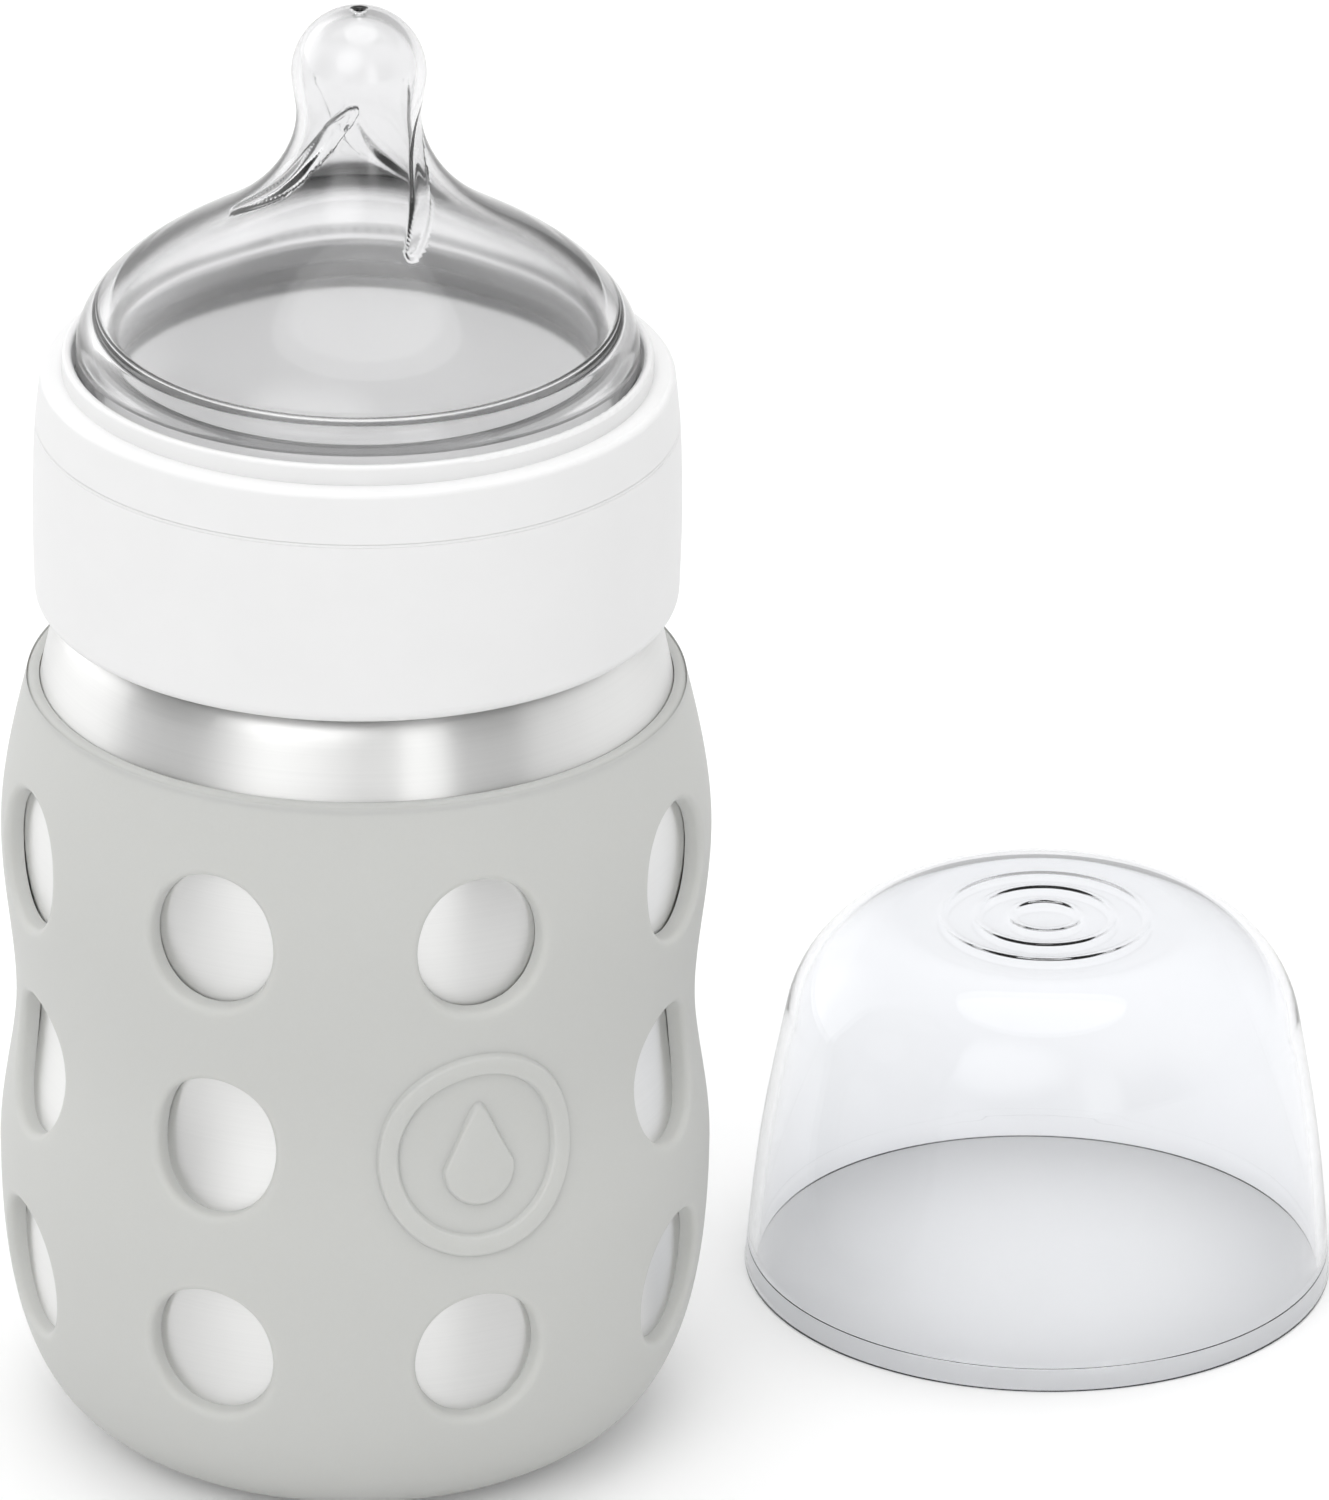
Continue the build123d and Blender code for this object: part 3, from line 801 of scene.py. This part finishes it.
class BOTTLE_OT_add_nipple(bpy.types.Operator):
    """Model the clear nipple: flange, thick rim, thin dome and bulb, feeding hole and spiral ribs inside."""

    bl_idname = "feeding_bottle.add_nipple"
    bl_label = "Add Nipple"

    def execute(self, context):
        sizes = context.scene.feeding_bottle.nipple
        bottom = NIPPLE_LOW.z
        wall = sizes.wall_radius
        outer, inner = self.walls(bottom, sizes)
        bulb = (0, bottom + sizes.bulb_height)
        inner_bulb = sizes.bulb_radius - sizes.bulb_wall
        flange = NIPPLE_HIGH.x
        flange_top = bottom + sizes.flange_thickness
        soft = 0.35 * MM
        hole, funnel = sizes.hole_radius, 0.7 * MM
        funnel_turn = math.degrees(math.acos(funnel / sizes.bulb_radius))
        outline = [(wall - sizes.rim_wall, bottom), (flange - soft, bottom)]
        outline += arc((flange - soft, bottom + soft), soft, -90, 0, 3)
        outline += arc((flange - soft, flange_top - soft), soft, 0, 90, 3)
        outline += [(wall + soft, flange_top)]
        outline += arc((wall + soft, flange_top + soft), soft, 270, 180, 3)
        outline += [(wall, flange_top + 2.2 * MM)]
        outline += outer
        outline += arc(bulb, sizes.bulb_radius, 0, funnel_turn, 22)
        outline += [(hole, bulb[1] + sizes.bulb_radius - 0.3 * MM)]
        outline += arc(bulb, inner_bulb, math.degrees(math.acos(hole / inner_bulb)), 0, 22)
        outline += list(reversed(self.beaded(inner, bottom, sizes)))
        outline += [(wall - sizes.rim_wall, bottom + 3 * MM), (wall - sizes.rim_wall, bottom)]
        piece = turned("nipple_teat", outline, 256, joined=True)
        self.raise_ribs(piece, inner, sizes)
        handed_over(piece, "nipple", "nipple_finish", 60, ["nipple"])
        return {"FINISHED"}

    def walls(self, bottom, sizes):
        """The outside and the inside of the dome and neck, from the upright wall up to the bulb."""
        shoulder = sizes.wall_radius - sizes.shoulder_inset
        shoulder_wall = (sizes.rim_wall + sizes.dome_wall) / 2
        # radius outside, height, and wall
        sections = [
            (sizes.wall_radius, sizes.dome_foot_height, sizes.rim_wall),
            (shoulder, sizes.shoulder_height, shoulder_wall),
            (sizes.dome_radius, sizes.dome_height, sizes.dome_wall),
            (sizes.throat_radius, sizes.throat_height, sizes.throat_wall),
            (sizes.neck_radius, sizes.neck_height, sizes.bulb_wall),
            (sizes.bulb_radius, sizes.bulb_height, sizes.bulb_wall),
        ]
        steps = 20
        upright = (0, 1)
        knots = [(radius, bottom + height) for radius, height, thickness in sections]
        outer = smooth_curve(knots, upright, upright, steps)
        inner_knots = []
        for index, (radius, height, thickness) in enumerate(sections):
            near = outer[max(index * steps - 1, 0)]
            far = outer[min(index * steps + 1, len(outer) - 1)]
            along = Vector((far[0] - near[0], far[1] - near[1])).normalized()
            inner_knots.append((radius - along.y * thickness, bottom + height + along.x * thickness))
        return outer, smooth_curve(inner_knots, upright, upright, steps)

    def beaded(self, inner, bottom, sizes):
        """The inner outline with a soft bead round it, where the dome springs from the upright wall."""
        middle, half = bottom + sizes.bead_height, sizes.bead_width / 2
        heights = [bottom + 4 * MM] + [height for radius, height in inner]
        radii = [inner[0][0]] + [radius for radius, height in inner]
        beaded = []
        steps = 12
        for step in range(-steps, steps + 1):
            height = middle + half * step / steps
            bump = (1 - (step / steps) ** 2) ** 2
            beaded.append((float(numpy.interp(height, heights, radii)) - sizes.bead_depth * bump, height))
        return beaded + [point for point in inner if point[1] > middle + half + 0.1 * MM]

    def raise_ribs(self, piece, inner, sizes):
        """Raise a leaf-shaped rib along each spiral on the inside of the dome and neck."""
        heights = [height for radius, height in inner]
        radii = [radius for radius, height in inner]
        # the turn of a rib, in degrees, at falling heights above the underside of the flange
        turns = [0, -24, -49, -66, -80, -92]
        drops = [34.15 * MM, 31.45 * MM, 27.55 * MM, 24.15 * MM, 21.85 * MM, 19.75 * MM]
        samples = 120
        paths = []
        for rib in range(sizes.ribs):
            for sample in range(samples + 1):
                share = sample / samples
                spot = share * (len(turns) - 1)
                turn = sizes.rib_start + 2 * math.pi * rib / sizes.ribs
                turn += math.radians(float(numpy.interp(spot, range(len(turns)), turns)))
                height = NIPPLE_LOW.z + float(numpy.interp(spot, range(len(drops)), drops))
                radius = float(numpy.interp(height, heights, radii))
                leaf = 4 * share * (1 - share)
                half = sizes.rib_width / 2 * (0.3 + 0.7 * leaf**0.5) if 0 < share < 1 else 0.3 * MM
                paths.append((radius * math.cos(turn), radius * math.sin(turn), height, half, leaf))
        line = numpy.array(paths)
        lowest = line[:, 2].min() - sizes.rib_width
        for vertex in piece.data.vertices:
            co = vertex.co
            reach = math.hypot(co.x, co.y)
            inside = reach < float(numpy.interp(co.z, heights, radii)) + 0.25 * MM
            if not inside or co.z < lowest or co.z > heights[-1]:
                continue
            gaps = numpy.linalg.norm(line[:, :3] - numpy.array(co), axis=1)
            nearest = int(gaps.argmin())
            half = line[nearest, 3]
            share = min(max((half - gaps[nearest]) / (half * 0.45), 0), 1)
            if share > 0:
                swell = share * share * (3 - 2 * share)
                vertex.co = co + vertex.normal * (sizes.rib_height * swell * (0.45 + 0.55 * line[nearest, 4]))
        piece.data.update()


class BOTTLE_OT_add_cap(bpy.types.Operator):
    """Model the clear cap: a dome with a flat, rippled top and a shallow seat inside its rim."""

    bl_idname = "feeding_bottle.add_cap"
    bl_label = "Add Cap"

    def execute(self, context):
        sizes = context.scene.feeding_bottle.cap
        rim = (CAP_HIGH.x - CAP_LOW.x) / 2
        top = CAP_HIGH.z
        seat = rim - sizes.seat_inset
        soft = 0.3 * MM
        outer = self.half(rim, top, 0, sizes)
        inner = self.half(rim, top, sizes.wall, sizes)
        above = [point for point in inner if point[1] > sizes.seat_depth + 0.5 * MM]
        inner_radii, inner_heights = zip(*inner)
        step_radius = float(numpy.interp(sizes.seat_depth, inner_heights, inner_radii))
        ceiling, edge = top - sizes.wall, 0.1 * MM
        outline = [(0, ceiling), (4 * MM, ceiling), (9 * MM, ceiling)]
        outline += list(reversed(above))
        outline += [(step_radius, sizes.seat_depth + edge), (step_radius + edge, sizes.seat_depth)]
        outline += [(seat - edge / 2, sizes.seat_depth), (seat, sizes.seat_depth - edge)]
        outline += arc((seat + soft, soft), soft, 180, 270, 3)
        outline += arc((rim - soft, soft), soft, 270, 360, 3)
        outline += [point for point in outer if point[1] > 2 * soft]
        outline += self.ripples(top, sizes)
        outline += [(0, top)]
        piece = turned("cap_dome", outline, 160, centre=CAP_MIDDLE)
        handed_over(piece, "cap", "cap_finish", 40, ["cap"])
        return {"FINISHED"}

    def half(self, rim, top, inset, sizes):
        """The outline from the rim up over the shoulder to the flat top, moved inwards by inset."""
        shoulder_height = top - sizes.shoulder_drop
        foot = (rim - inset, 0)
        shoulder = (rim - sizes.shoulder_inset - inset, shoulder_height)
        middle = ((foot[0] + shoulder[0]) / 2 + sizes.bulge, shoulder_height / 2)
        wall = smooth_curve([foot, middle, shoulder], steps=14)
        lean = Vector(wall[-1]) - Vector(wall[-2])
        flat = rim - sizes.shoulder_inset - sizes.flat_inset
        drop = top - inset - shoulder_height
        corner = shoulder[0] + lean.x * drop / lean.y
        full = sizes.fullness
        shoulder_curve = handle_curve(
            shoulder,
            (shoulder[0] + (corner - shoulder[0]) * full, shoulder_height + drop * full),
            (flat + (corner - flat) * full, top - inset),
            (flat, top - inset),
            24,
        )
        return wall + shoulder_curve[1:]

    def ripples(self, top, sizes):
        """Low raised rings on the flat top, from the outermost in."""
        outline = []
        for ripple in range(sizes.ripples, 0, -1):
            middle = ripple * sizes.ripple_pitch
            half, steps = sizes.ripple_width / 2, 4
            for step in range(2 * steps + 1):
                across = 1 - step / steps
                rise = sizes.ripple_height * (1 - across * across) ** 2
                outline.append((middle + half * across, top + rise))
        return outline


class BOTTLE_OT_add_finishes(bpy.types.Operator):
    """Make every finish, and give the steel and the ring theirs."""

    bl_idname = "feeding_bottle.add_finishes"
    bl_label = "Add Finishes"

    def execute(self, context):
        tones = context.scene.feeding_bottle.tones
        steel = steel_finish(tones)
        sleeve_finish(tones)
        nipple_finish(tones)
        cap_finish(tones)
        plastic = ring_finish(tones)
        for node, material in (("steel_bottle", steel), ("base_plate", steel), ("ring", plastic)):
            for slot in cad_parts[node].material_slots:
                slot.material = material
        return {"FINISHED"}


class BOTTLE_OT_add_stage(bpy.types.Operator):
    """Set up the pale floor, the soft studio light and the camera."""

    bl_idname = "feeding_bottle.add_stage"
    bl_label = "Add Stage"

    def execute(self, context):
        scene = context.scene
        stage = scene.feeding_bottle.stage
        bpy.ops.object.select_all(action="DESELECT")
        bpy.ops.mesh.primitive_plane_add(size=stage.floor_size)
        floor = bpy.context.object
        floor.name = "floor"
        material, shader = new_finish("studio_floor")
        paper = shader.noise(shader.place(), 40)
        pale = scene.feeding_bottle.tones.floor
        darker = [part * 0.99 for part in pale]
        seen = shader.node("ShaderNodeLightPath").outputs["Is Camera Ray"]
        shader.finish({
            "Base Color": shader.tint(paper, darker, pale),
            "Roughness": 0.9,
            "Specular IOR Level": 0.1,
            "Emission Color": shader.tint(seen, (0, 0, 0), (1, 1, 1)),
            "Emission Strength": stage.floor_lift,
        })
        floor.data.materials.append(material)
        scene.view_settings.view_transform = "Standard"
        self.light(scene, stage)
        self.camera(scene, stage)
        return {"FINISHED"}

    def light(self, scene, stage):
        """A white studio with tall soft panels round it, and one wide soft light overhead."""
        world = bpy.data.worlds.new("studio")
        scene.world = world
        shader = Shader(world)
        towards = shader.node("ShaderNodeTexCoord").outputs["Generated"]
        parts = shader.node("ShaderNodeSeparateXYZ", None, {0: towards}).outputs
        east, north, up = [Value(shader, part) for part in parts]
        turn = north.math("ARCTAN2", north, east) / (2 * math.pi) + 0.5
        # brightness round the horizon, from -X through -Y, +X and +Y back to -X
        panels = shader.node("ShaderNodeValToRGB", {"stops": self.panel_stops()}, {0: turn})
        panels.color_ramp.interpolation = "EASE"
        ring = Value(shader, panels.outputs[0])
        overhead = shader.eased(up, 0.3, 0.75)
        glow = shader.eased(self.towards_key(east, north, up, stage), 0.86, 1.0)
        brightness = ring * 3.0 * (1 - overhead) + overhead * 1.15 + glow * 2.2
        rays = shader.node("ShaderNodeLightPath").outputs["Is Camera Ray"]
        lit = shader.node("ShaderNodeBackground", None, {"Strength": brightness * stage.sky})
        seen = shader.node("ShaderNodeBackground", None, {"Strength": stage.backdrop})
        for background in (lit, seen):
            background.inputs["Color"].default_value = (1, 1, 1, 1)
        mixed = shader.node("ShaderNodeMixShader", None, {0: rays, 1: lit.outputs[0], 2: seen.outputs[0]})
        shader.node("ShaderNodeOutputWorld", None, {"Surface": mixed.outputs[0]})
        self.lamp(scene, stage)

    def towards_key(self, east, north, up, stage):
        """How nearly a direction points at the soft glow, high behind the camera's left shoulder."""
        to_the_left = math.radians(22)
        bearing, height = FRONT - stage.yaw - to_the_left, math.radians(40)
        level = math.cos(height)
        return east * (level * math.cos(bearing)) + north * (level * math.sin(bearing)) + up * math.sin(height)

    def lamp(self, scene, stage):
        """A round soft light overhead, that shines at the bottle."""
        lamp = bpy.data.lights.new("overhead", "AREA")
        lamp.shape = "DISK"
        lamp.size = stage.lamp_size
        lamp.energy = stage.lamp_power
        light = bpy.data.objects.new("overhead", lamp)
        light.location = (0.1, 0.1, 1.5)
        bottle = Vector((30 * MM, 0, 80 * MM))
        light.rotation_mode = "QUATERNION"
        light.rotation_quaternion = (bottle - light.location).to_track_quat("-Z", "Y")
        scene.collection.objects.link(light)

    def panel_stops(self):
        """A third of the brightness of the panels, at shares of a turn."""
        bearings = [
            (-180, 0.07), (-170, 0.1), (-157, 0.34), (-148, 0.4), (-127, 0.2), (-112, 0.18), (-98, 0.35),
            (-90, 0.8), (-81, 0.68), (-73, 0.08), (-54, 0.05), (-38, 0.3), (-12, 0.42), (7, 0.45),
            (38, 0.25), (68, 0.2), (98, 0.5), (117, 0.8), (143, 0.7), (165, 0.12), (180, 0.07),
        ]
        return [((bearing + 180) / 360, level) for bearing, level in bearings]

    def camera(self, scene, stage):
        """A long lens that looks down at the bottle from its front left."""
        camera = bpy.data.objects.new("camera", bpy.data.cameras.new("camera"))
        scene.collection.objects.link(camera)
        scene.camera = camera
        flat = math.cos(stage.elevation)
        gaze = Vector((math.sin(stage.yaw) * flat, math.cos(stage.yaw) * flat, -math.sin(stage.elevation)))
        camera.data.lens = stage.lens
        camera.data.clip_end = 50
        camera.location = Vector(stage.target) - gaze * stage.distance
        camera.rotation_mode = "QUATERNION"
        camera.rotation_quaternion = gaze.to_track_quat("-Z", "Y") @ Quaternion((0, 0, 1), stage.roll)


class BOTTLE_PT_panel(bpy.types.Panel):
    """The bottle's pieces, in the order in which they are added."""

    bl_label = "Feeding Bottle"
    bl_idname = "BOTTLE_PT_panel"
    bl_space_type = "VIEW_3D"
    bl_region_type = "UI"
    bl_category = "Feeding Bottle"

    def draw(self, context):
        for step in STEPS:
            self.layout.operator(step.bl_idname)


STEPS = (
    BOTTLE_OT_add_finishes,
    BOTTLE_OT_add_sleeve,
    BOTTLE_OT_add_emblem,
    BOTTLE_OT_add_nipple,
    BOTTLE_OT_add_cap,
    BOTTLE_OT_add_stage,
)
CLASSES = (SleeveSizes, NippleSizes, CapSizes, Tones, StageSizes, FeedingBottle, *STEPS, BOTTLE_PT_panel)


def register():
    for item in CLASSES:
        bpy.utils.register_class(item)
    bpy.types.Scene.feeding_bottle = bpy.props.PointerProperty(type=FeedingBottle)


def unregister():
    del bpy.types.Scene.feeding_bottle
    for item in reversed(CLASSES):
        bpy.utils.unregister_class(item)


def main():
    register()
    bpy.ops.feeding_bottle.add_finishes()
    bpy.ops.feeding_bottle.add_sleeve()
    bpy.ops.feeding_bottle.add_emblem()
    bpy.ops.feeding_bottle.add_nipple()
    bpy.ops.feeding_bottle.add_cap()
    bpy.ops.feeding_bottle.add_stage()


if __name__ == "__main__":
    main()
